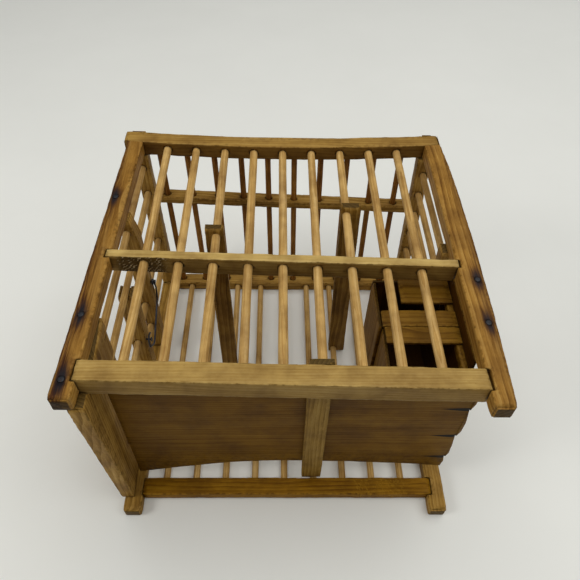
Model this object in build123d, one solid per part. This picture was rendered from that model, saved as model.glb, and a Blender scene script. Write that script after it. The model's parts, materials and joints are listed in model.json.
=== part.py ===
from build123d import *
import math
import os

# A small hand-made bird crate: two square timber frames held apart by posts, closed by
# round dowel bars on the top, floor, back and sides, with a thin board across the front.
# Frame: +X to the right, +Y to the back, +Z up, origin on the ground under the middle.
# The drawing below is centred on the middle top bar; MIDDLE_X moves it under the outline at the end.

# ---- overall -------------------------------------------------------------------------
WIDTH = 260.0            # over the ends of the top back rail
MIDDLE_X = 2.0           # the right rail bulges outwards, so the outline's middle is off the middle bar
HEIGHT = 180.0           # ground to the flush top of the top frame
FRONT = -130.0           # front end of the right top rail
BACK = 130.0             # back face of the top back rail
LEFT_FRONT = -126.0      # front end of the left top rail, sawn a little short
RIGHT_BULGE = 134.0      # the right rail's outer edge at its widest

# ---- top frame -----------------------------------------------------------------------
SIDE_W = 12.5            # side rail width
SIDE_H = 12.0            # side rail height
HOUSING = 3.0            # how deep the cross rails are let into the side rails
FRONT_RAIL_W, FRONT_RAIL_H = 14.6, 14.5
FRONT_RAIL_Y, FRONT_RAIL_SKEW = -108.5, -1.25      # centre at X = 0, turn in degrees
MID_RAIL_W, MID_RAIL_H = 7.2, 14.5
MID_RAIL_Y, MID_RAIL_SKEW = -16.0, -1.7
BACK_RAIL_W, BACK_RAIL_H = 14.0, 12.5
BACK_RAIL_BOW = 6.5      # the back rail bends forward in the middle

# ---- bottom frame --------------------------------------------------------------------
BASE_X0, BASE_X1 = -121.0, 130.0
BASE_W, BASE_H = 13.6, 10.2
BASE_FRONT, BASE_BACK = -123.0, 126.0
BASE_FRONT_RAIL = (-110.0, -96.2)    # Y of the front and back faces
BASE_BACK_RAIL = (112.0, 125.0)
LAP = BASE_H / 2

# ---- bars ----------------------------------------------------------------------------
BAR_D = 6.2              # top bars
BAR_PITCH = 23.6
BAR_COUNT = 9
BAR_Z = 173.6
BAR_BITE = 7.0           # how far a bar enters a rail
FLOOR_BAR_D = 5.4
FLOOR_BAR_Z = 5.4
FLOOR_BAR_X = 3.3        # middle floor bar
WALL_BAR_D = 5.4
BACK_BAR_D = 5.0
HOLE_SLACK = 0.9         # bored holes are this much wider than the bars

# ---- posts ---------------------------------------------------------------------------
POST_BOTTOM = BASE_H
POST_TOP = HEIGHT - SIDE_H
POST_LEAN = 3.2          # the back bars and posts drift to +X on the way down

# ---- front ---------------------------------------------------------------------------
PANEL_T = 1.8
BATTEN_T = 4.6


def block(x0, x1, y0, y1, z0, z1):
    return Pos((x0 + x1) / 2, (y0 + y1) / 2, (z0 + z1) / 2) * Box(x1 - x0, y1 - y0, z1 - z0)


def bar_y(x, z, y0, y1, d):
    return Pos(x, (y0 + y1) / 2, z) * Rot(90, 0, 0) * Cylinder(d / 2, y1 - y0)


def bar_z(x, y, z0, z1, d, tilt=0.0):
    return Pos(x, y, (z0 + z1) / 2) * Rot(0, tilt, 0) * Cylinder(d / 2, z1 - z0)


def prism_yz(x0, x1, outline):
    """A board of even thickness along X, with the given outline in Y and Z."""
    face = Plane((x0, 0, 0), x_dir=(0, 1, 0), z_dir=(1, 0, 0)) * make_face(Polyline(*outline, close=True))
    return extrude(face, amount=x1 - x0)


def prism_xz(y0, y1, outline):
    """A board of even thickness along Y, with the given outline in X and Z."""
    face = Plane((0, y0, 0), x_dir=(1, 0, 0), z_dir=(0, -1, 0)) * make_face(Polyline(*outline, close=True))
    return extrude(face, amount=-(y1 - y0))


os.makedirs("parts", exist_ok=True)
nodes = {}
XI = WIDTH / 2 - SIDE_W                       # inner faces of the top side rails

# ---- top cross rails -----------------------------------------------------------------


def skewed_rail(y, skew, w, h, reach):
    return Pos(0, y, HEIGHT - h / 2) * Rot(0, 0, skew) * Box(2 * reach, w, h)


front_rail = skewed_rail(FRONT_RAIL_Y, FRONT_RAIL_SKEW, FRONT_RAIL_W, FRONT_RAIL_H, XI + HOUSING)
mid_rail = skewed_rail(MID_RAIL_Y, MID_RAIL_SKEW, MID_RAIL_W, MID_RAIL_H, XI + HOUSING)

with BuildSketch() as back_outline:
    with BuildLine():
        rear = Spline((-WIDTH / 2, BACK), (0, BACK - BACK_RAIL_BOW), (WIDTH / 2, BACK))
        Line(rear @ 1, (WIDTH / 2, BACK - BACK_RAIL_W))
        fore = Spline((WIDTH / 2, BACK - BACK_RAIL_W), (0, BACK - BACK_RAIL_W - BACK_RAIL_BOW),
                      (-WIDTH / 2, BACK - BACK_RAIL_W))
        Line(fore @ 1, rear @ 0)
    make_face()
back_rail = Pos(0, 0, HEIGHT - BACK_RAIL_H) * extrude(back_outline.sketch, amount=BACK_RAIL_H)

# ---- top side rails ------------------------------------------------------------------
RAIL_BACK = BACK - 0.5


def rail_plank(*edges):
    """A side rail from its outline in X and Y, given as points; a spline runs where there are over two."""
    with BuildSketch() as outline:
        with BuildLine():
            for points in edges:
                if len(points) > 2:
                    Spline(*points)
                else:
                    Line(*points)
        make_face()
    return Pos(0, 0, HEIGHT - SIDE_H) * extrude(outline.sketch, amount=SIDE_H)


# the left rail runs inwards towards the back
left_rail = rail_plank([(-130.2, LEFT_FRONT), (-117.4, LEFT_FRONT)], [(-117.4, LEFT_FRONT), (-114.0, RAIL_BACK)],
                       [(-114.0, RAIL_BACK), (-126.6, RAIL_BACK)], [(-126.6, RAIL_BACK), (-130.2, LEFT_FRONT)])
# the right rail is straight inside and bulges outside
right_rail = rail_plank([(130.2, FRONT), (133.2, -44.0), (RIGHT_BULGE, 15.0), (133.3, 70.0), (129.9, RAIL_BACK)],
                        [(129.9, RAIL_BACK), (XI, RAIL_BACK)], [(XI, RAIL_BACK), (XI, FRONT)],
                        [(XI, FRONT), (130.2, FRONT)])
upper = block(-WIDTH, WIDTH, 0, 2 * BACK, HEIGHT - SIDE_H / 2, HEIGHT + 1)
lower = block(-WIDTH, WIDTH, 0, 2 * BACK, HEIGHT - 2 * SIDE_H, HEIGHT - SIDE_H / 2)
side_rails = {}
lapped = left_rail + right_rail
for side, rail in (("left", left_rail), ("right", right_rail)):
    rail = rail - front_rail - mid_rail - (back_rail & upper)
    side_rails[side] = rail
back_rail = back_rail - (lapped & lower)

# ---- top bars ------------------------------------------------------------------------
bars = []
for k in range(BAR_COUNT):
    x = (k - (BAR_COUNT - 1) / 2) * BAR_PITCH
    y0 = FRONT_RAIL_Y + x * math.tan(math.radians(FRONT_RAIL_SKEW)) + FRONT_RAIL_W / 2 - BAR_BITE
    bow = BACK_RAIL_BOW * (1 - (2 * x / WIDTH) ** 2)
    y1 = BACK - BACK_RAIL_W - bow + BAR_BITE
    bars.append((x, y0, y1))
    hole = bar_y(x, BAR_Z, y0, y1, BAR_D + HOLE_SLACK)
    front_rail -= hole
    mid_rail -= hole
    back_rail -= hole
    nodes["top_bar_%d" % (k + 1)] = bar_y(x, BAR_Z, y0, y1, BAR_D)

# ---- bottom frame --------------------------------------------------------------------
base_left = block(BASE_X0, BASE_X0 + BASE_W, BASE_FRONT, BASE_BACK, 0, BASE_H)
base_right = block(BASE_X1 - BASE_W, BASE_X1, BASE_FRONT, BASE_BACK, 0, BASE_H)
base_front = block(BASE_X0 + BASE_W - 1.0, BASE_X1 - BASE_W + 4.0, *BASE_FRONT_RAIL, LAP - 3.0, BASE_H)
base_back = block(BASE_X0 + 2, BASE_X1 - 2, *BASE_BACK_RAIL, 0.3, BASE_H + 0.3)
base_left = base_left - base_front - base_back
base_right = base_right - base_front - base_back

FLOOR_BAR_Y = (BASE_FRONT_RAIL[1] - BAR_BITE, BASE_BACK_RAIL[0] + BAR_BITE)
floor_xs = [FLOOR_BAR_X + (k - (BAR_COUNT - 1) / 2) * BAR_PITCH for k in range(BAR_COUNT)]
for x in floor_xs:
    hole = bar_y(x, FLOOR_BAR_Z, *FLOOR_BAR_Y, FLOOR_BAR_D + HOLE_SLACK)
    base_front -= hole
    base_back -= hole
floor_bars = Compound(children=[bar_y(x, FLOOR_BAR_Z, *FLOOR_BAR_Y, FLOOR_BAR_D) for x in floor_xs])

# ---- posts ---------------------------------------------------------------------------
BACK_POST_Y = (112.0, 122.0)


def leaning_post(x0, x1, y0, y1, z1=POST_TOP, lean=POST_LEAN):
    """A square post whose foot stands a little to +X of its head."""
    return prism_xz(y0, y1, [(x0, z1), (x1, z1), (x1 + lean, POST_BOTTOM), (x0 + lean, POST_BOTTOM)])


# the wide board at the left front corner, set a little askew, its front edge cut back towards the foot
board_side = prism_yz(-130.0, -110.0, [(-125.2, POST_TOP), (-58.0, POST_TOP),
                                       (-58.0, POST_BOTTOM), (-112.6, POST_BOTTOM)])
with BuildSketch() as board_plan:
    with BuildLine():
        Polyline((-122.6, -126.0), (-112.6, -126.0), (-115.6, -57.0), (-125.6, -57.0), close=True)
    make_face()
shoulder = prism_xz(30.0, 45.0, [(-114.4, POST_TOP + 1), (-105.0, POST_TOP + 1), (-105.0, 146.0), (-110.0, 146.0)])
posts = {
    "front_left_board": board_side & extrude(board_plan.sketch, amount=HEIGHT),
    "back_left_post": leaning_post(-124.0, -112.0, *BACK_POST_Y),
    "back_right_post": leaning_post(113.8, 125.4, *BACK_POST_Y, lean=4.5),
    "mid_left_post": leaning_post(-122.0, -110.0, 32.0, 43.0, lean=1.5) - shoulder,
    "latch_post": leaning_post(-123.0, -110.6, -8.0, 4.0, z1=128.5, lean=1.0),
    "mid_right_post": leaning_post(114.0, 126.0, 1.0, 12.5, lean=2.0),
}

# ---- back middle rail ----------------------------------------------------------------
BACK_MID_Z, BACK_MID_H, BACK_MID_SLOPE = 114.9, 6.8, 2.2
BACK_BAR_Y = 119.5
back_mid_rail = Pos(1.9, 119.6, BACK_MID_Z) * Rot(0, BACK_MID_SLOPE, 0) * Box(228.0, 12.0, BACK_MID_H)
for name in ("back_left_post", "back_right_post"):
    posts[name] = posts[name] - back_mid_rail - back_rail - base_back
posts["front_left_board"] = posts["front_left_board"] - front_rail

# ---- back bars -----------------------------------------------------------------------
BACK_BAR_COUNT, BACK_BAR_PITCH, BACK_BAR_X0 = 10, 22.6, -103.0
BACK_BAR_Z = (6.0, 172.0)
back_tilt = -math.degrees(math.atan2(POST_LEAN, BACK_BAR_Z[1] - BACK_BAR_Z[0]))
for k in range(BACK_BAR_COUNT):
    x = BACK_BAR_X0 + BACK_BAR_PITCH * k + POST_LEAN / 2
    hole = bar_z(x, BACK_BAR_Y, *BACK_BAR_Z, BACK_BAR_D + HOLE_SLACK, back_tilt)
    back_rail -= hole
    base_back -= hole
    back_mid_rail -= hole
    nodes["back_bar_%d" % (k + 1)] = bar_z(x, BACK_BAR_Y, *BACK_BAR_Z, BACK_BAR_D, back_tilt)

# ---- side wall bars ------------------------------------------------------------------
LEFT_BARS = dict(x=-118.0, y0=-66.0, y1=118.0, heights=(155.0, 128.0, 101.5, 71.0, 42.0))
RIGHT_BARS = dict(x=120.6, y0=5.0, y1=118.0, heights=(151.5, 130.0, 107.5, 84.0, 61.5, 38.0))
wall_bars = {}
for side, spec in (("left", LEFT_BARS), ("right", RIGHT_BARS)):
    rods = []
    for z in spec["heights"]:
        x = spec["x"] + POST_LEAN * 0.5 * (POST_TOP - z) / (POST_TOP - POST_BOTTOM)
        span = (x, z, spec["y0"], spec["y1"])
        rods.append(bar_y(*span, WALL_BAR_D))
        hole = bar_y(*span, WALL_BAR_D + HOLE_SLACK)
        for name in posts:
            if side in name or (side == "left" and name == "latch_post"):
                posts[name] = posts[name] - hole
    wall_bars[side] = Compound(children=rods)

# ---- battens -------------------------------------------------------------------------
BATTEN_TOP, BATTEN_FOOT = 182.0, 0.8
BATTEN_SLACK = 0.06


def batten(x_mid, width, y0, thick, drift):
    """An upright strip threaded on a top bar and a floor bar, leaning a little sideways."""
    h = BATTEN_TOP - BATTEN_FOOT
    tilt = -math.degrees(math.atan2(drift, h))
    return Pos(x_mid + drift / 2, y0 + thick / 2, (BATTEN_TOP + BATTEN_FOOT) / 2) * Rot(0, tilt, 0) * Box(
        width, thick, h)


left_batten = batten(-48.4, 13.6, 10.2, 5.0, 2.6)
right_batten = batten(50.2, 14.6, 34.5, 5.6, 3.4)
snug = [bar_y(x, BAR_Z, y0, y1, BAR_D + BATTEN_SLACK) for x, y0, y1 in bars]
snug += [bar_y(x, FLOOR_BAR_Z, *FLOOR_BAR_Y, FLOOR_BAR_D + BATTEN_SLACK) for x in floor_xs]
for hole in snug:
    left_batten -= hole
    right_batten -= hole


# ---- front batten and board ----------------------------------------------------------
# Both hang behind the front rail and rake back a little towards the foot.
RAKE = 5.0               # how far the foot stands behind the head
FRONT_HEAD_Y = -101.6    # front face of the batten at the top
PANEL_TOP = 166.0
PANEL_GAP = 0.35         # play between the sliding board and the batten


def raked(x0, x1, y_front, thick, z0, z1):
    """A strip between two heights whose faces follow the rake of the front."""
    def face_y(z):
        return y_front + RAKE * (HEIGHT - z) / (HEIGHT - BASE_H)
    return prism_yz(x0, x1, [(face_y(z1), z1), (face_y(z0), z0),
                             (face_y(z0) + thick, z0), (face_y(z1) + thick, z1)])


front_batten = raked(17.0, 32.4, FRONT_HEAD_Y, BATTEN_T, BASE_H, HEIGHT)
front_batten = Rot(0, -0.6, 0) * front_batten
front_batten = front_batten & block(-50, 100, -120, -60, BASE_H, HEIGHT)
front_batten -= front_rail
for x, y0, y1 in bars:
    front_batten -= bar_y(x, BAR_Z, y0, y1, BAR_D + HOLE_SLACK)
PANEL_OUTLINE = [
    (-112.2, 10.7), (-95.0, 16.0), (-78.0, 20.5), (-58.0, 25.0), (-39.0, 29.0), (-15.0, 31.5), (8.0, 32.5),
    (46.0, 31.5), (78.0, 29.0), (110.0, 26.0), (126.6, 23.5), (127.6, 33.0), (126.2, 41.0), (128.6, 48.0),
    (128.0, 60.0), (127.2, 68.0), (126.4, 76.5), (129.0, 84.0), (129.2, 97.0), (127.8, 108.0),
    (126.8, 116.0), (129.0, 124.0), (130.0, PANEL_TOP), (-112.2, PANEL_TOP)]
panel_y = FRONT_HEAD_Y + BATTEN_T + PANEL_GAP
front_panel = raked(-130.0, 140.0, panel_y, PANEL_T, 5.0, PANEL_TOP)
front_panel = front_panel & prism_xz(-130.0, -60.0, PANEL_OUTLINE)

# ---- corner box at the right ---------------------------------------------------------
BOX_TOP, BOX_FLOOR = 158.0, 98.0
BOX_FRONT, BOX_BACK = -91.0, -13.0
BOARD = 2.4
BOX_X0, BOX_X1 = 64.0, 117.2
box_nodes = {
    "box_floor": block(BOX_X0 + BOARD, BOX_X1, BOX_FRONT, BOX_BACK - BOARD, BOX_FLOOR - BOARD, BOX_FLOOR),
    "box_rear_board": block(BOX_X0, BOX_X1, BOX_BACK - BOARD, BOX_BACK, BOX_FLOOR - BOARD, BOX_TOP - BOARD),
    "box_outer_board": block(BOX_X1, BOX_X1 + BOARD, BOX_FRONT + 0.6, BOX_BACK, BOX_FLOOR - BOARD,
                             POST_TOP) - mid_rail,
    "box_ledger": block(BOX_X1 - 4.0, BOX_X1, BOX_FRONT, BOX_BACK - BOARD, BOX_TOP - BOARD - 6.0,
                        BOX_TOP - BOARD),
    "box_inner_board_rear": block(BOX_X0, BOX_X0 + BOARD, -55.6, BOX_BACK - BOARD, BOX_FLOOR - BOARD,
                                  BOX_TOP - BOARD),
    "box_inner_board_front": block(BOX_X0 + BOARD, BOX_X0 + 2 * BOARD, -90.0, -52.0, BOX_FLOOR, BOX_TOP - 4.5),
    "box_lid_rear": block(81.0, BOX_X1, -36.0, BOX_BACK, BOX_TOP - BOARD, BOX_TOP),
    "box_lid_middle": block(BOX_X0 + 2.0, BOX_X1, -56.4, -42.7, BOX_TOP - BOARD, BOX_TOP),
    "box_lid_front": block(BOX_X0 + 3.0, BOX_X1, -70.0, -56.7, BOX_TOP - BOARD, BOX_TOP),
}

# ---- wire hook -----------------------------------------------------------------------
WIRE_D = 1.5
HOOK_X = -107.6
PIVOT_Y, PIVOT_Z = 36.5, 96.0
CATCH_Y, CATCH_Z = -6.4, 73.6
PIN_D, PIN_HEAD_D = 1.6, 3.6
EYE_R = 1.9              # centre radius of the eye bent round its pin
hook_points = [
    (HOOK_X, PIVOT_Y + EYE_R, PIVOT_Z),
    (HOOK_X, PIVOT_Y + 5.5, PIVOT_Z - 13.0),
    (HOOK_X, PIVOT_Y + 2.0, PIVOT_Z - 24.0),
    (HOOK_X, 3.0, 55.0),
    (HOOK_X, CATCH_Y - 2.4, 66.0),
    (HOOK_X, CATCH_Y - 2.4, 74.0),
    (HOOK_X, CATCH_Y + 1.5, 77.5),
    (HOOK_X, CATCH_Y + 5.5, 75.0),
]
hook_path = FilletPolyline(*hook_points, radius=(3.5, 6.0, 5.0, 5.0, 2.0, 2.2))
hook_wire = sweep(Plane(hook_path @ 0, z_dir=hook_path % 0) * Circle(WIRE_D / 2), path=hook_path)
eye = Pos(HOOK_X, PIVOT_Y, PIVOT_Z) * Rot(0, 90, 0) * Torus(EYE_R, WIRE_D / 2)
wire_hook = hook_wire + eye


def wall_pin(y, z, x_face, x_head, depth):
    """A small nail driven into a post along X, its head standing clear of the face."""
    shank = Pos((x_face - depth + x_head) / 2, y, z) * Rot(0, 90, 0) * Cylinder(
        PIN_D / 2, x_head - x_face + depth)
    head = Pos(x_head + 0.4, y, z) * Rot(0, 90, 0) * Cylinder(PIN_HEAD_D / 2, 0.8)
    return shank + head


hook_pin = wall_pin(PIVOT_Y, PIVOT_Z, -110.0, -106.2, 3.0)
catch_pin = wall_pin(CATCH_Y, CATCH_Z, -110.6, -106.2, 3.0)
posts["mid_left_post"] = posts["mid_left_post"] - hook_pin
posts["latch_post"] = posts["latch_post"] - catch_pin

# ---- nails in the top of the side rails ----------------------------------------------
NAIL_HEAD_D, NAIL_D, NAIL_HEAD_T, NAIL_LENGTH = 4.2, 2.0, 0.7, 11.5
NAILS = ((-123.6, 46.0), (-124.4, -65.6), (-125.0, -112.4), (128.4, -34.0), (127.4, -70.0))
nails = []
for x, y in NAILS:
    shank = Pos(x, y, HEIGHT - NAIL_LENGTH / 2) * Cylinder(NAIL_D / 2, NAIL_LENGTH)
    head = Pos(x, y, HEIGHT - NAIL_HEAD_T / 2 + 0.25) * Cylinder(NAIL_HEAD_D / 2, NAIL_HEAD_T)
    nails.append(shank + head)
for nail in nails:
    for side in side_rails:
        side_rails[side] -= nail

# ---- node list -----------------------------------------------------------------------
nodes.update({
    "top_left_rail": side_rails["left"], "top_right_rail": side_rails["right"],
    "top_front_rail": front_rail, "top_middle_rail": mid_rail, "top_back_rail": back_rail,
    "base_left_rail": base_left, "base_right_rail": base_right,
    "base_front_rail": base_front, "base_back_rail": base_back, "back_middle_rail": back_mid_rail,
    "floor_bars": floor_bars, "left_wall_bars": wall_bars["left"], "right_wall_bars": wall_bars["right"],
    "left_batten": left_batten, "right_batten": right_batten,
    "front_batten": front_batten, "front_panel": front_panel,
    "wire_hook": wire_hook, "hook_pin": hook_pin, "catch_pin": catch_pin,
    "rail_nails": Compound(children=nails),
})
nodes.update(posts)
nodes.update(box_nodes)


def placed(shape):
    """The shape's solids, moved so that the outline's middle stands over the origin."""
    moved = [Pos(-MIDDLE_X, 0, 0) * solid for solid in shape.solids()]
    return moved[0] if len(moved) == 1 else Compound(children=moved)


for name, shape in nodes.items():
    export_step(placed(shape), "parts/%s.step" % name)
print(len(nodes), "nodes")
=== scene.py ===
import json
import math
import random

import bmesh
import bpy
from mathutils import Matrix, Vector, noise


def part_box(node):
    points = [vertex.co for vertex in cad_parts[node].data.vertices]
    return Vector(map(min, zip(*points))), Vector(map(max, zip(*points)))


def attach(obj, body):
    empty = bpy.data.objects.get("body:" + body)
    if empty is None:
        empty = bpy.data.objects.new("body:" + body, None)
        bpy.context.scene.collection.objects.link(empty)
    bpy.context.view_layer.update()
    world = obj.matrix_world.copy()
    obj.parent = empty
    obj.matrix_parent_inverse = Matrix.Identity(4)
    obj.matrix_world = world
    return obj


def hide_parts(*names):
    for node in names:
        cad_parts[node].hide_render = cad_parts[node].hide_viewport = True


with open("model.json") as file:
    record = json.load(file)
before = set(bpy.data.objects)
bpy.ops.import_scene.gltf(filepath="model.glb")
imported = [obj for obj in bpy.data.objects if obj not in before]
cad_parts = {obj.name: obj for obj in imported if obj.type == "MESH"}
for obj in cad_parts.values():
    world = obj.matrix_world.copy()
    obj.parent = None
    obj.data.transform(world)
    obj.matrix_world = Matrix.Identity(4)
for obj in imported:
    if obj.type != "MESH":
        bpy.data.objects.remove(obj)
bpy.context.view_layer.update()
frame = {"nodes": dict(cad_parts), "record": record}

# A small hand-made crate of worn timber rails, whittled dowel bars and thin boards, with a wire hook.
# Every piece is worked up from its own CAD node, so it stands exactly where the frame says.

MM = 0.001
WELD = 0.002 * MM                          # vertices this near are one
NODES = frame["nodes"]
BODY = {node: body for body, members in frame["record"]["behaviour"]["bodies"].items() for node in members}
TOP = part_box("top_front_rail")[1].z


def srgb(red, green, blue):
    """A linear colour from 0-255 display values."""
    def linear(value):
        value /= 255
        return value / 12.92 if value <= 0.04045 else ((value + 0.055) / 1.055) ** 2.4
    return (linear(red), linear(green), linear(blue), 1.0)


# ---- shader helpers ------------------------------------------------------------------


class Graph:
    """Adds nodes to one material and links them."""

    def __init__(self, name):
        self.material = bpy.data.materials.new(name)
        self.material.use_nodes = True
        self.tree = self.material.node_tree
        self.shader = self.tree.nodes["Principled BSDF"]

    def plug(self, socket, value):
        if isinstance(value, bpy.types.NodeSocket):
            self.tree.links.new(value, socket)
        elif value is not None:
            socket.default_value = value

    def node(self, kind, inputs=(), **settings):
        made = self.tree.nodes.new("ShaderNode" + kind)
        for key, value in settings.items():
            setattr(made, key, value)
        for key, value in dict(inputs).items():
            self.plug(made.inputs[key], value)
        return made

    def math(self, operation, a, b=None):
        return self.node("Math", {0: a, 1: b}, operation=operation).outputs[0]

    def vector(self, operation, a, b=None):
        made = self.node("VectorMath", {0: a, 1: b}, operation=operation)
        return made.outputs["Value" if operation in ("LENGTH", "DOT_PRODUCT") else "Vector"]

    def scaled(self, a, factor):
        made = self.node("VectorMath", {0: a, "Scale": factor}, operation="SCALE")
        return made.outputs["Vector"]

    def noise(self, where, scale, detail=3.0, roughness=0.55):
        made = self.node("TexNoise", {"Vector": where, "Scale": scale, "Detail": detail,
                                      "Roughness": roughness})
        return made.outputs["Fac"]

    def noise_vector(self, where, scale, detail=2.0):
        made = self.node("TexNoise", {"Vector": where, "Scale": scale, "Detail": detail})
        return self.vector("SUBTRACT", made.outputs["Color"], (0.5, 0.5, 0.5))

    def fade(self, value, start, end, low=0.0, high=1.0):
        """value runs from low at start to high at end, and stays there."""
        made = self.node("MapRange", {"Value": value, "From Min": start, "From Max": end,
                                      "To Min": low, "To Max": high}, interpolation_type="SMOOTHSTEP")
        return made.outputs["Result"]

    def ramp(self, value, stops):
        made = self.node("ValToRGB", {"Fac": value})
        band = made.color_ramp
        while len(band.elements) < len(stops):
            band.elements.new(0.5)
        for element, (place, colour) in zip(band.elements, stops):
            element.position = place
            element.color = colour
        return made.outputs["Color"]

    def mix(self, factor, a, b, blend="MIX"):
        made = self.node("Mix", data_type="RGBA", blend_type=blend)
        for key, value in ((0, factor), (6, a), (7, b)):
            self.plug(made.inputs[key], value)
        return made.outputs[2]

    def tint(self, factor, colour, by):
        """colour multiplied by another, as far as factor says."""
        return self.mix(factor, colour, self.mix(1.0, colour, by, "MULTIPLY"))


# Colours laid over any wood, as linear light.
SOOT = (0.010, 0.010, 0.014, 1)            # iron stain at a nail
STAIN_TINT = (0.42, 0.30, 0.22, 1)         # where the stain thins out
WEATHERED_TINT = (0.26, 0.17, 0.16, 1)
# painted shade laid over the faces turned one way
FACING_SHADE_TINT = (0.34, 0.26, 0.12, 1)
GAP_SHADE = (0.006, 0.004, 0.002, 1)       # painted shade: black inside a crack or a torn groove
# pale torn fibre with a painted highlight
TORN_FIBRE_HIGHLIGHT = (0.85, 0.72, 0.5, 1)
# joint dirt and painted shade in crevices and bored holes
JOINT_DIRT_AND_SHADE = (0.018, 0.011, 0.006, 1)
GRIME_AND_SHADE = 0.55                               # how much joint dirt and painted shade shows
ROUGHNESS = 0.62
CRACK_RISE = 0.05                          # how fast the front board's cracks climb to the left

AXES = {"X": Vector((1, 0, 0)), "Y": Vector((0, 1, 0)), "Z": Vector((0, 0, 1))}


def wood(name, tones, axis, centre, seed, ring=2.4, contrast=1.0, end_tone=0.42, streak=None, stains=(),
         torn=None, sawn=None, dirt=None, splits=()):
    """Old raw timber: growth rings round an off-centre pith, fibre streaks, pores, patina, darker end grain,
    rubbed edges, and dirt with painted shade in the joints.

    tones are (dark, middle, light). centre is the piece's middle in metres. streak is (direction, start, end)
    in metres for a dark weathered band; stains are (x, y, radius across, radius along); torn and sawn are
    (low, high) positions along X of rough tool marks; torn grooves get painted shade and torn fibres a
    painted highlight. dirt is (direction, strength), for painted shade on the faces turned that way. splits
    are the (x, z) of cracks that open along the grain at the right end, drawn black as painted shade.
    """
    g = Graph(name)
    dice = random.Random(seed)
    place = g.node("TexCoord").outputs["Object"]
    facing = g.node("TexCoord").outputs["Normal"]
    spot = g.scaled(place, 1 / MM)
    along = AXES[axis]
    shift = tuple(dice.uniform(-200, 200) for _ in range(3))
    drifted = g.vector("ADD", spot, shift)

    # grain: stretched along the timber, wavering slowly
    slow = tuple(0.25 if a else 1.0 for a in along)
    fine = tuple(0.035 if a else 1.0 for a in along)
    waver = g.scaled(g.noise_vector(g.vector("MULTIPLY", drifted, slow), 0.035), 7.0)
    wavered = g.vector("ADD", drifted, waver)
    fibres = g.vector("MULTIPLY", wavered, fine)
    pith = Vector([c / MM for c in centre])
    pith += Vector([dice.choice((-1, 1)) * dice.uniform(9, 30) for _ in range(3)])
    from_pith = g.vector("ADD", g.vector("SUBTRACT", spot, tuple(pith)), waver)
    drawn_out = tuple(0.02 if a else 1.0 for a in along)
    rings = g.node("TexWave", {"Vector": g.vector("MULTIPLY", from_pith, drawn_out),
                               "Scale": math.tau / (20 * ring), "Distortion": 1.6, "Detail": 3.0,
                               "Detail Scale": 1.2},
                   wave_type="RINGS", rings_direction=axis, wave_profile="SAW").outputs["Fac"]
    broad = g.noise(fibres, 0.22, 3.0)
    streaks = g.noise(fibres, 0.9, 4.0, 0.65)
    hairs = g.noise(fibres, 3.6, 3.0, 0.7)
    grain = g.math("ADD", g.math("MULTIPLY", rings, 0.22),
                   g.math("ADD", g.math("MULTIPLY", broad, 0.62),
                          g.math("ADD", g.math("MULTIPLY", streaks, 0.42), g.math("MULTIPLY", hairs, 0.3))))
    usual, spread = 0.79, 0.34 / contrast
    level = g.fade(grain, usual - spread, usual + spread)
    dark, mid, light = tones
    colour = g.ramp(level, ((0.0, dark), (0.45, mid), (1.0, light)))

    # slow patches of patina, and short dark pores
    patches = g.noise(drifted, 0.045, 4.0, 0.6)
    colour = g.mix(1.0, colour, g.ramp(patches, ((0.3, (0.62, 0.56, 0.5, 1)), (0.62, (1.04, 1.03, 1.0, 1)))),
                   "MULTIPLY")
    pores = g.noise(g.vector("MULTIPLY", wavered, tuple(0.22 if a else 1.0 for a in along)), 1.5, 2.0, 0.6)
    pore_mask = g.fade(pores, 0.66, 0.74)
    colour = g.mix(g.math("MULTIPLY", pore_mask, 0.45), colour, dark)

    # rubbed edges, lighter where handled and dark where chipped
    wear = g.node("Attribute", attribute_name="wear").outputs["Fac"]
    chips = g.noise(drifted, 0.32, 3.0, 0.6)
    colour = g.mix(g.math("MULTIPLY", wear, g.fade(chips, 0.42, 0.62, 0.0, 0.4)), colour, light)
    colour = g.mix(g.math("MULTIPLY", wear, g.fade(chips, 0.5, 0.36, 0.0, 0.5)), colour,
                   tuple(0.35 * c for c in dark[:3]) + (1,))

    # end grain drinks up dirt
    end = g.fade(g.math("ABSOLUTE", g.vector("DOT_PRODUCT", facing, tuple(along))), 0.72, 0.95)
    pits = g.noise(drifted, 1.1, 4.0, 0.7)
    end_colour = g.ramp(g.math("ADD", g.math("MULTIPLY", rings, 0.4), g.math("MULTIPLY", pits, 0.6)),
                        ((0.25, tuple(end_tone * 0.45 * c for c in mid[:3]) + (1,)),
                         (0.7, (end_tone * mid[0], end_tone * 1.06 * mid[1], end_tone * 1.35 * mid[2], 1))))
    colour = g.mix(end, colour, end_colour)

    height = g.math("ADD", g.math("MULTIPLY", streaks, 0.55), g.math("MULTIPLY", hairs, 0.6))
    height = g.math("SUBTRACT", height, g.math("MULTIPLY", pore_mask, 0.5))

    if streak:
        direction, start, stop = streak
        side = g.vector("DOT_PRODUCT", spot, direction)
        ragged = g.math("ADD", side, g.math("MULTIPLY", g.math("SUBTRACT", broad, 0.5), 16.0))
        ragged = g.math("ADD", ragged, g.math("MULTIPLY", g.math("SUBTRACT", patches, 0.5), 9.0))
        band = g.fade(ragged, start / MM, stop / MM)
        lines = g.fade(streaks, 0.62, 0.42, 0.45, 1.0)
        colour = g.tint(g.math("MULTIPLY", band, lines), colour, WEATHERED_TINT)

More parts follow.
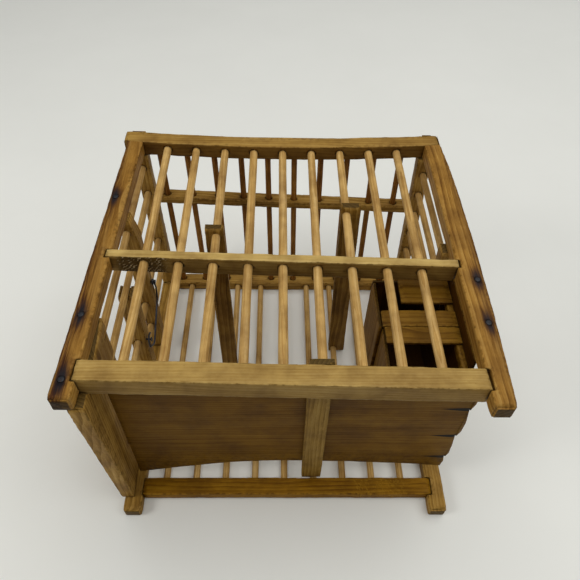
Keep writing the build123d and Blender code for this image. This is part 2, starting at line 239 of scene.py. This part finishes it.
    if torn or sawn:
        low, high = torn or sawn
        x = g.node("SeparateXYZ", {0: spot}).outputs["X"]
        reach = g.math("ADD", x, g.math("MULTIPLY", g.math("SUBTRACT", patches, 0.5), 14.0))
        inside = g.math("MULTIPLY", g.fade(reach, low / MM - 3, low / MM + 3),
                        g.fade(reach, high / MM + 3, high / MM - 3))
        masks = []
        for turn, pitch in (((0.75, 2.7), (-0.95, 3.1)) if torn else ((0.5, 1.9), (0.42, 3.1))):
            across = (1.0, 0.0, turn) if torn else (1.0, turn, 0.0)
            phase = g.math("MULTIPLY", g.vector("DOT_PRODUCT", wavered, across), 1 / pitch)
            wobble = g.math("MULTIPLY", g.noise(drifted, 0.5), 2.2)
            wave = g.math("SINE", g.math("MULTIPLY", g.math("ADD", phase, wobble), math.tau))
            broken = g.fade(g.noise(drifted, 0.35, 2.0), 0.45, 0.56)
            masks.append(g.math("MULTIPLY", g.fade(wave, 0.45, 0.9), broken))
        if torn:
            front = g.fade(g.vector("DOT_PRODUCT", facing, (0, -1, 0)), 0.5, 0.8)
            inside = g.math("MULTIPLY", inside, front)
            colour = g.mix(g.math("MULTIPLY", inside, 0.75), colour, tuple(0.3 * c for c in dark[:3]) + (1,))
            # painted shade in the torn grooves and a painted highlight on the torn fibres
            colour = g.mix(g.math("MULTIPLY", inside, masks[0]), colour, GAP_SHADE)
            colour = g.mix(g.math("MULTIPLY", inside, masks[1]), colour, TORN_FIBRE_HIGHLIGHT)
            height = g.math("SUBTRACT", height, g.math("MULTIPLY", g.math("MULTIPLY", inside, masks[0]), 5.0))
        else:
            scored = g.math("MULTIPLY", inside, g.math("MAXIMUM", *masks))
            colour = g.mix(g.math("MULTIPLY", scored, 0.55), colour, light)
            height = g.math("ADD", height, g.math("MULTIPLY", scored, 1.2))

    # iron stains: black round the nail, brown further along the grain
    iron = None
    for x, y, across, lengthwise in stains:
        offset = g.vector("SUBTRACT", spot, (x / MM, y / MM, TOP / MM))
        offset = g.vector("ADD", offset, g.scaled(waver, 0.25))
        reaches = []
        for widen, lengthen in ((1.0, 1.0), (1.5, 1.7)):
            size = (MM / (across * widen), MM / (lengthwise * lengthen), 0.2)
            reach = g.vector("LENGTH", g.vector("MULTIPLY", offset, size))
            ragged = g.math("ADD", reach, g.math("MULTIPLY", g.math("SUBTRACT", streaks, 0.5), 0.7))
            reaches.append(g.fade(ragged, 1.15, 0.2))
        colour = g.tint(reaches[1], colour, STAIN_TINT)
        iron = reaches[0] if iron is None else g.math("MAXIMUM", iron, reaches[0])
    if iron:
        colour = g.mix(g.math("MULTIPLY", iron, 0.95), colour, SOOT)

    # painted shade: the faces turned that way are darkened
    if dirt:
        direction, strength = dirt
        turned = g.fade(g.vector("DOT_PRODUCT", facing, direction), 0.4, 0.8, 0.0, strength)
        colour = g.tint(turned, colour, FACING_SHADE_TINT)

    # painted shade: each crack along the grain is drawn black where it opens
    for x, z in splits:
        parts = g.node("SeparateXYZ", {0: spot}).outputs
        back = g.math("SUBTRACT", x / MM, parts["X"])
        rise = g.math("ABSOLUTE", g.math("SUBTRACT", g.math("SUBTRACT", parts["Z"], z / MM),
                                         g.math("MULTIPLY", back, CRACK_RISE)))
        gape = g.fade(back, 28.0, 0.0, -0.6, 2.2)
        open_here = g.fade(g.math("SUBTRACT", rise, gape), 0.3, -0.3)
        colour = g.mix(open_here, colour, GAP_SHADE)

    # dirt and painted shade where timbers meet and round bored holes, from an ambient occlusion mask
    nook = g.node("AmbientOcclusion", {"Distance": 2.2 * MM}, samples=6).outputs["AO"]
    colour = g.mix(g.fade(nook, 0.75, 0.12, 0.0, GRIME_AND_SHADE), colour, JOINT_DIRT_AND_SHADE)

    bump = g.node("Bump", {"Height": height, "Strength": 0.35, "Distance": 0.16 * MM})
    g.plug(g.shader.inputs["Base Color"], colour)
    g.plug(g.shader.inputs["Roughness"], g.fade(grain, 0.3, 1.1, ROUGHNESS + 0.12, ROUGHNESS - 0.1))
    g.plug(g.shader.inputs["Normal"], bump.outputs["Normal"])
    g.shader.inputs["Specular IOR Level"].default_value = 0.12
    return g.material


def iron_finish(name, tone, rust, seed):
    """Dull dark iron with a bloom of rust and small pits."""
    g = Graph(name)
    dice = random.Random(seed)
    place = g.scaled(g.node("TexCoord").outputs["Object"], 1 / MM)
    place = g.vector("ADD", place, tuple(dice.uniform(-90, 90) for _ in range(3)))
    patches = g.noise(place, 0.55, 4.0, 0.65)
    pits = g.noise(place, 2.6, 3.0, 0.7)
    colour = g.mix(g.fade(patches, 0.5, 0.68, 0.0, 0.7), tone, rust)
    colour = g.mix(g.fade(pits, 0.5, 0.7, 0.0, 0.5), colour, (0.01, 0.01, 0.012, 1))
    bump = g.node("Bump", {"Height": pits, "Strength": 0.4, "Distance": 0.12 * MM})
    g.plug(g.shader.inputs["Base Color"], colour)
    g.plug(g.shader.inputs["Roughness"], g.fade(patches, 0.4, 0.7, 0.38, 0.75))
    g.plug(g.shader.inputs["Normal"], bump.outputs["Normal"])
    g.shader.inputs["Metallic"].default_value = 0.55
    return g.material


# ---- mesh helpers --------------------------------------------------------------------

noise.seed_set(11)  # unseeded, noise_vector takes its offsets from the clock


def plain_mesh(node):
    """The node's solid with its flat faces whole again."""
    bm = bmesh.new()
    bm.from_mesh(NODES[node].data)
    bmesh.ops.remove_doubles(bm, verts=bm.verts, dist=WELD)
    bmesh.ops.dissolve_limit(bm, angle_limit=math.radians(0.6), verts=bm.verts, edges=bm.edges)
    return bm


def round_arrises(bm, width, shortest, tenon):
    """Bevels the long sharp edges; bored rims, small cuts and all beyond the tenon's shoulder keep theirs."""
    edges = [e for e in bm.edges
             if e.is_manifold and e.calc_face_angle(0) > 0.6 and e.calc_length() > shortest
             and min(v.co.y for v in e.verts) < tenon]
    bmesh.ops.bevel(bm, geom=edges, offset=width, offset_type="OFFSET", segments=2, profile=0.5,
                    affect="EDGES", clamp_overlap=False)


def cut_at(bm, axis, places):
    for place in places:
        point, normal = Vector(), Vector()
        point[axis] = place
        normal[axis] = 1
        bmesh.ops.bisect_plane(bm, geom=bm.verts[:] + bm.edges[:] + bm.faces[:], plane_co=point,
                               plane_no=normal, dist=0.001 * MM)


def spaced(low, high, step):
    count = max(1, round((high - low) / step))
    return [low + (high - low) * k / count for k in range(1, count)]


def at(point, wavelength, seed):
    return point / wavelength + Vector((7.31, 3.17, 1.93)) * seed


def weather(bm, axis, seed, wobble, wear, end_wear, tenon, on_floor):
    """Rubs the edges down unevenly, rounds the ends, and lets the faces waver. A tenon stays sharp."""
    bm.normal_update()
    layer = bm.verts.layers.float.new("wear")
    places = [v.co[axis] for v in bm.verts]
    low, high = min(places), max(places)
    moves = []
    for v in bm.verts:
        bend = max((e.calc_face_angle(0) for e in v.link_edges if e.is_manifold), default=0)
        edge = min(1.0, bend / 0.5) if v.co.y < tenon else 0.0
        v[layer] = edge
        to_end = min(v.co[axis] - low, high - v.co[axis])
        rub = 0.5 + 0.9 * noise.noise(at(v.co, 9 * MM, seed)) + 0.5 * noise.noise(at(v.co, 3 * MM, seed))
        nick = max(0.0, noise.noise(at(v.co, 5.5 * MM, seed + 40)) - 0.42) * 3.0
        inward = edge * (wear * max(0.0, rub) + wear * nick + end_wear * max(0.0, 1 - to_end / (2.5 * MM)))
        drift = noise.noise_vector(at(v.co, 42 * MM, seed)) * wobble
        drift += noise.noise_vector(at(v.co, 8 * MM, seed + 9)) * wobble * 0.28
        drift[axis] = 0
        moves.append(drift - v.normal * inward)
    for v, move in zip(bm.verts, moves):
        v.co += move
        if on_floor:
            v.co.z = max(0.0, v.co.z)


def finish_piece(name, bm, node, material, sharp=38):
    mesh = bpy.data.meshes.new(name)
    bm.to_mesh(mesh)
    bm.free()
    mesh.polygons.foreach_set("use_smooth", [True] * len(mesh.polygons))
    mesh.set_sharp_from_angle(angle=math.radians(sharp))
    mesh.materials.append(material)
    made = bpy.data.objects.new(name, mesh)
    bpy.context.scene.collection.objects.link(made)
    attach(made, BODY[node])
    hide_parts(node)
    return made


def islands(node):
    """The separate solids of a node, each as a list of its vertices, in the same order every run."""
    bm = bmesh.new()
    bm.from_mesh(NODES[node].data)
    bmesh.ops.remove_doubles(bm, verts=bm.verts, dist=WELD)
    bm.verts.index_update()
    seen, found = set(), []
    for start in bm.verts:
        if start.index in seen:
            continue
        seen.add(start.index)
        group, queue = [], [start]
        while queue:
            v = queue.pop()
            group.append(v)
            for e in v.link_edges:
                far = e.other_vert(v)
                if far.index not in seen:
                    seen.add(far.index)
                    queue.append(far)
        found.append([v.co.copy() for v in sorted(group, key=lambda v: v.index)])
    bm.free()
    return sorted(found, key=lambda points: tuple(round(c / MM, 1) for c in middle(points)))


def middle(points):
    return sum(points, Vector()) / len(points)


# ---- timbers -------------------------------------------------------------------------


def timber(node, slot, tones, seed, edge=0.55 * MM, step=4 * MM, wobble=0.22 * MM, wear=0.35 * MM,
           end_wear=0.5 * MM, shortest=2.6 * MM, shape=None, tenon=math.inf, **look):
    """A piece of worn wood made from its CAD node; shape may change the mesh before it is weathered."""
    low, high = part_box(node)
    size = high - low
    axis = max(range(3), key=lambda k: size[k])
    bm = plain_mesh(node)
    round_arrises(bm, edge, shortest, tenon)
    cut_at(bm, axis, spaced(low[axis], high[axis], step))
    for across in range(3):
        if across != axis:
            rim = 1.5 * MM
            if size[across] > 4 * rim:
                cut_at(bm, across, [low[across] + rim, high[across] - rim])
            cut_at(bm, across, spaced(low[across], high[across], max(step, size[across] / 3)))
    if shape:
        shape(bm)
    weather(bm, axis, seed, wobble, wear, end_wear, tenon, on_floor=node.startswith("base_"))
    material = wood(node + "_grain", tones, "XYZ"[axis], (low + high) / 2, seed, **look)
    return finish_piece(node + "_wood", bm, node, material)


def shave(bm, start, end, radius, seed):
    """Adds a hand-shaved dowel between two points: soft flats, a slight bend, uneven thickness."""
    way = end - start
    length = way.length
    turn = way.to_track_quat("Z", "Y")
    sides, rows = 20, max(8, round(length / (3 * MM)))
    dice = random.Random(seed)
    lean = Vector((dice.uniform(-1, 1), dice.uniform(-1, 1), 0)).normalized() * dice.uniform(0.1, 0.3) * MM
    previous, first = None, None
    for row in range(rows + 1):
        t = row / rows
        ring = []
        for k in range(sides):
            angle = math.tau * k / sides
            flat = Vector((math.cos(angle) * 1.3, math.sin(angle) * 1.3, t * length / (38 * MM)))
            pared = noise.noise(flat + Vector((seed * 3.7, 0, 0))) * 0.055
            uneven = noise.noise(Vector((seed * 1.7, t * length / (16 * MM), 0))) * 0.02
            ripple = noise.noise(flat * 3.1 + Vector((0, seed * 2.3, 0))) * 0.015
            r = radius * (0.985 + pared + uneven + ripple)
            local = Vector((math.cos(angle) * r, math.sin(angle) * r, t * length))
            local += lean * math.sin(math.pi * t)
            ring.append(bm.verts.new(start + turn @ local))
        if previous:
            for k in range(sides):
                bm.faces.new((previous[k], previous[(k + 1) % sides], ring[(k + 1) % sides], ring[k]))
        else:
            first = ring
        previous = ring
    bm.faces.new(first[::-1])
    bm.faces.new(previous)


def dowels(node, tones, seed):
    """The round bars of a node, all running the same way."""
    bm = bmesh.new()
    low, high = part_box(node)
    for number, points in enumerate(islands(node)):
        spans = [max(p[k] for p in points) - min(p[k] for p in points) for k in range(3)]
        axis = spans.index(max(spans))
        half = middle(points)[axis]
        start = middle([p for p in points if p[axis] < half])
        end = middle([p for p in points if p[axis] >= half])
        way = (end - start).normalized()
        radius = max(((p - start) - way * (p - start).dot(way)).length for p in points)
        shave(bm, start, end, radius, seed + number)
    material = wood(node + "_grain", tones, "XYZ"[axis], (low + high) / 2, seed, ring=1.9, end_tone=0.5,
                    contrast=0.75)
    return finish_piece(node + "_wood", bm, node, material, sharp=60)


# ---- colours -------------------------------------------------------------------------


def tinted(tones, red, green, blue):
    """The same dark, middle and light tones with their linear channels scaled."""
    return tuple((tone[0] * red, tone[1] * green, tone[2] * blue, 1.0) for tone in tones)


FRESH = (srgb(150, 112, 48), srgb(200, 164, 100), srgb(224, 192, 132))
RAW = (srgb(140, 104, 46), srgb(190, 152, 88), srgb(214, 180, 120))
HONEY = tinted(FRESH, 0.70, 0.70, 0.58)
PALE = tinted(FRESH, 0.86, 0.92, 0.86)
TAN = tinted(RAW, 0.66, 0.62, 0.42)
DRAB = tinted(RAW, 0.50, 0.47, 0.27)
SIDE = tinted((srgb(118, 78, 24), srgb(178, 134, 66), srgb(206, 166, 100)), 0.72, 0.68, 0.50)
POST = tinted((srgb(112, 78, 26), srgb(164, 124, 58), srgb(196, 156, 90)), 0.86, 0.88, 0.75)
SLAT = tinted((srgb(90, 62, 20), srgb(146, 108, 44), srgb(182, 144, 78)), 0.80, 0.80, 0.70)
DARK_BAR = tinted((srgb(96, 56, 18), srgb(146, 98, 40), srgb(180, 132, 66)), 0.90, 0.90, 0.80)
BAR = (srgb(146, 106, 50), srgb(190, 153, 90), srgb(220, 188, 128))
BASE = (srgb(92, 58, 2), srgb(134, 92, 7), srgb(166, 124, 28))
PANEL = (srgb(72, 44, 2), srgb(110, 75, 5), srgb(134, 98, 14))
BOX = (srgb(74, 44, 4), srgb(122, 86, 16), srgb(150, 114, 40))

# ---- nails, whose places the stains need ---------------------------------------------
nail_solids = islands("rail_nails")
nail_places = [middle([p for p in points if p.z > TOP - 0.5 * MM]) for points in nail_solids]
stain_dice = random.Random(5)
stains = {"left": [], "right": []}
for spot in nail_places:
    side = "left" if spot.x < 0 else "right"
    stains[side].append((spot.x, spot.y,
                         stain_dice.uniform(3.2, 4.2) * MM, stain_dice.uniform(9.5, 13.5) * MM))

# ---- top frame -----------------------------------------------------------------------
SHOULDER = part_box("top_back_rail")[0].y + 1 * MM       # beyond it the side rails are tenons
FRONTWARD = (0, -1, 0)
rail_low, rail_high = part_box("top_left_rail")
timber("top_left_rail", "frame_wood", SIDE, 1, edge=0.8 * MM, end_wear=1.0 * MM, ring=3.4, contrast=0.9,
       end_tone=0.3, tenon=SHOULDER, stains=stains["left"],
       streak=((-1, 0, 0), -rail_high.x + 5.5 * MM, -rail_low.x - 2.5 * MM))
rail_low, rail_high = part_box("top_right_rail")
timber("top_right_rail", "frame_wood", SIDE, 2, edge=0.8 * MM, end_wear=1.0 * MM, ring=3.6, contrast=1.0,
       end_tone=0.3, tenon=SHOULDER, stains=stains["right"],
       streak=((1, 0, 0), rail_high.x - 6.5 * MM, rail_high.x + 1.5 * MM))


def pull_ends(node, gap_left, gap_right, skew):
    """The ends of a cross rail stop short of their housings: the left cut is ragged, the right is not square
    where skew says so.
    """
    low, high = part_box(node)

    def shape(bm):
        cut_at(bm, 1, spaced(low.y, high.y, 1.1 * MM))
        for v in bm.verts:
            if v.co.x < low.x + 1.5 * MM:
                ragged = abs(noise.noise(Vector((0.0, v.co.y / (1.3 * MM), low.y))))
                v.co.x += gap_left + 0.45 * MM * ragged
            elif v.co.x > high.x - 1.5 * MM:
                v.co.x -= gap_right - skew * (v.co.y - low.y)
    return shape


# painted shade darkens the front-facing faces of the three cross rails
timber("top_front_rail", "frame_wood", HONEY, 3, edge=0.5 * MM, ring=2.0, contrast=0.55,
       shape=pull_ends("top_front_rail", 0.5 * MM, 1.2 * MM, -0.06), dirt=(FRONTWARD, 0.4))
left_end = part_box("top_middle_rail")[0].x
timber("top_middle_rail", "frame_wood", PALE, 4, edge=0.45 * MM, contrast=0.6,
       shape=pull_ends("top_middle_rail", 0.4 * MM, 1.3 * MM, 0.0),
       torn=(left_end + 10 * MM, left_end + 42 * MM), dirt=(FRONTWARD, 0.75))
timber("top_back_rail", "frame_wood", TAN, 5, edge=0.7 * MM, contrast=0.8, dirt=(FRONTWARD, 0.8))

for number in range(1, 10):
    dowels("top_bar_%d" % number, BAR, 20 + number)
for number in range(1, 11):
    dowels("back_bar_%d" % number, DARK_BAR, 40 + number)

# ---- bottom frame --------------------------------------------------------------------
for seed, node in enumerate(("base_left_rail", "base_right_rail", "base_back_rail")):
    timber(node, "frame_wood", POST, 60 + seed, edge=0.7 * MM, end_wear=0.8 * MM)
right_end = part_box("base_front_rail")[1].x
timber("base_front_rail", "frame_wood", BASE, 64, edge=0.6 * MM,
       sawn=(right_end - 62 * MM, right_end - 22 * MM))
dowels("floor_bars", BAR, 70)
dowels("left_wall_bars", BAR, 80)
dowels("right_wall_bars", BAR, 90)

# ---- posts and battens ---------------------------------------------------------------
for seed, node in enumerate(("front_left_board", "back_left_post", "back_right_post", "mid_left_post",
                             "latch_post", "mid_right_post", "back_middle_rail")):
    timber(node, "frame_wood", POST, 100 + seed, edge=0.5 * MM)
timber("left_batten", "board_wood", SLAT, 110, edge=0.35 * MM, wear=0.25 * MM)
timber("right_batten", "board_wood", SLAT, 111, edge=0.35 * MM, wear=0.25 * MM)
timber("front_batten", "board_wood", DRAB, 112, edge=0.3 * MM, wear=0.2 * MM)

# ---- corner box ----------------------------------------------------------------------
# painted shade: the inner faces of the outer board, floor and rear board are darkened fully, the front faces
# of the other box boards by half
INSIDE = {"box_outer_board": (-1, 0, 0), "box_floor": (0, 0, 1), "box_rear_board": FRONTWARD}
for seed, node in enumerate(n for n in sorted(NODES) if n.startswith("box_")):
    timber(node, "board_wood", BOX, 120 + seed, edge=0.25 * MM, wear=0.15 * MM, wobble=0.12 * MM,
           contrast=0.7, dirt=(INSIDE.get(node, FRONTWARD), 1.0 if node in INSIDE else 0.5))


# ---- sliding front board -------------------------------------------------------------


panel_low, panel_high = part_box("front_panel")
# the cracks end in the notches of the board's right edge
rim = [v.co.copy() for v in plain_mesh("front_panel").verts if v.co.x > panel_high.x - 9 * MM]
cracks = []
for here in sorted(rim, key=lambda p: p.z):
    near = [p for p in rim if abs(p.z - here.z) < 20 * MM]
    above = max((p.x for p in near if p.z > here.z + 0.1 * MM), default=here.x)
    below = max((p.x for p in near if p.z < here.z - 0.1 * MM), default=here.x)
    deepest = here.x <= min(p.x for p in near) + 0.01 * MM
    if deepest and min(above, below) > here.x + 0.4 * MM:
        if not cracks or here.z - cracks[-1][1] > 2 * MM:
            cracks.append((here.x, here.z))


def curl_right_edge(bm):
    """The board has cracked along the grain at its right end, and each strip curls forward at its foot."""
    start = panel_high.x - 75 * MM
    levels = [panel_low.z] + [z for x, z in cracks] + [panel_high.z]
    for v in bm.verts:
        reach = min(1.0, max(0.0, (v.co.x - start) / (panel_high.x - start)))
        tilt = CRACK_RISE * (panel_high.x - v.co.x)
        for foot, head in zip(levels, levels[1:]):
            if foot <= v.co.z - tilt < head:
                share = (head - (v.co.z - tilt)) / (head - foot)
                v.co.y -= 1.1 * MM * reach ** 1.6 * share ** 1.5


timber("front_panel", "board_wood", PANEL, 140, edge=0.3 * MM, step=3.2 * MM, wear=0.2 * MM,
       wobble=0.3 * MM, ring=2.8, contrast=0.6, shape=curl_right_edge, splits=cracks)

# ---- iron ----------------------------------------------------------------------------


SIDES = 18                                 # of a nail
HEAD = 1.4 * MM                            # the unit of the drops below a nail's top
# (share of the head's radius, drop below the top); the last ring is the shank's foot
NAIL_PROFILE = ((0.0, 0.0), (0.35, -0.01), (0.62, -0.04), (0.84, -0.10), (0.97, -0.2), (1.0, -0.32),
                (0.95, -0.45), (0.5, -0.5), (0.45, None))


def nail_heads():
    """Hand-cut nails: a flattened, dented head on a plain shank."""
    bm = bmesh.new()
    for number, points in enumerate(nail_solids):
        centre = nail_places[number]
        top = max(p.z for p in points)
        foot = min(p.z for p in points)
        radius = max((p - centre).xy.length for p in points)
        rings = []
        for share, drop in NAIL_PROFILE:
            z = foot if drop is None else top + drop * HEAD
            struck = drop is not None and drop > -0.3
            ring = []
            for k in range(SIDES if share else 1):
                angle = math.tau * k / SIDES
                where = Vector((math.cos(angle) * share, math.sin(angle) * share, number * 3.3))
                dent = noise.noise(where * 1.4)
                r = radius * share * (0.97 + 0.06 * dent)
                ring.append(bm.verts.new((centre.x + r * math.cos(angle), centre.y + r * math.sin(angle),
                                          z + (dent * 0.12 * MM if struck else 0))))
            rings.append(ring)
        for k in range(SIDES):
            bm.faces.new((rings[0][0], rings[1][k], rings[1][(k + 1) % SIDES]))
        for upper, lower in zip(rings[1:], rings[2:]):
            for k in range(SIDES):
                after = (k + 1) % SIDES
                bm.faces.new((upper[k], lower[k], lower[after], upper[after]))
        bm.faces.new(rings[-1][::-1])
    return bm


IRON = iron_finish("nail_iron", srgb(38, 40, 46), srgb(66, 46, 34), 1)
WIRE = iron_finish("wire_iron", srgb(58, 62, 72), srgb(72, 58, 48), 2)
finish_piece("rail_nail_heads", nail_heads(), "rail_nails", IRON, sharp=50)
for node, finish in (("wire_hook", WIRE), ("hook_pin", IRON), ("catch_pin", IRON)):
    carried = NODES[node]
    carried.data.materials.clear()
    carried.data.materials.append(finish)

# ---- studio --------------------------------------------------------------------------


def studio_floor():
    g = Graph("floor_paper")
    place = g.node("TexCoord").outputs["Object"]
    mottle = g.noise(place, 6.0, 4.0, 0.6)
    paper = g.ramp(mottle, ((0.3, (0.84, 0.85, 0.815, 1)), (0.7, (0.865, 0.875, 0.84, 1))))
    g.plug(g.shader.inputs["Base Color"], paper)
    g.shader.inputs["Roughness"].default_value = 0.85
    g.shader.inputs["Specular IOR Level"].default_value = 0.1
    mesh = bpy.data.meshes.new("studio_floor")
    half = 4.0
    corners = [(-half, -half, 0), (half, -half, 0), (half, half, 0), (-half, half, 0)]
    mesh.from_pydata(corners, [], [(0, 1, 2, 3)])
    mesh.materials.append(g.material)
    floor = bpy.data.objects.new("studio_floor", mesh)
    bpy.context.scene.collection.objects.link(floor)


def softbox(name, place, aim, size, power, colour):
    light = bpy.data.lights.new(name, "AREA")
    light.shape = "SQUARE"
    light.size = size
    light.energy = power
    light.color = colour
    made = bpy.data.objects.new(name, light)
    made.location = place
    made.rotation_euler = (Vector(aim) - Vector(place)).to_track_quat("-Z", "Y").to_euler()
    bpy.context.scene.collection.objects.link(made)


def surroundings():
    """Weak even light all round; the camera sees a pale backdrop instead."""
    world = bpy.data.worlds.new("studio")
    bpy.context.scene.world = world
    world.use_nodes = True
    tree = world.node_tree
    shown = tree.nodes["Background"]
    shown.inputs["Color"].default_value = (0.74, 0.76, 0.73, 1)
    dim = tree.nodes.new("ShaderNodeBackground")
    dim.inputs["Color"].default_value = (1.0, 0.98, 0.93, 1)
    dim.inputs["Strength"].default_value = 0.13
    seen = tree.nodes.new("ShaderNodeLightPath")
    mix = tree.nodes.new("ShaderNodeMixShader")
    tree.links.new(seen.outputs["Is Camera Ray"], mix.inputs[0])
    tree.links.new(dim.outputs[0], mix.inputs[1])
    tree.links.new(shown.outputs[0], mix.inputs[2])
    tree.links.new(mix.outputs[0], tree.nodes["World Output"].inputs["Surface"])


studio_floor()
surroundings()
softbox("overhead", (0.4, 0.12, 1.5), (0.08, 0.05, 0.0), 2.3, 26.0, (1.0, 0.995, 0.975))
softbox("window", (-0.95, -0.35, 0.85), (0.0, 0.0, 0.1), 0.45, 3.9, (1.0, 0.985, 0.955))

# ---- camera --------------------------------------------------------------------------
PLACE = Vector((-0.0070, -0.2927, 0.4645))
PITCH, YAW, ROLL = math.radians(48.90), math.radians(-2.17), math.radians(2.09)

camera = bpy.data.cameras.new("camera")
camera.sensor_width = 36.0
camera.lens = 36.45
camera.clip_start, camera.clip_end = 0.01, 30.0
viewer = bpy.data.objects.new("camera", camera)
turn = Matrix.Rotation(YAW, 4, "Z") @ Matrix.Rotation(math.pi / 2 - PITCH, 4, "X")
turn @= Matrix.Rotation(ROLL, 4, "Z")
viewer.matrix_world = Matrix.Translation(PLACE) @ turn
bpy.context.scene.collection.objects.link(viewer)
bpy.context.scene.camera = viewer
bpy.context.scene.view_settings.view_transform = "Standard"
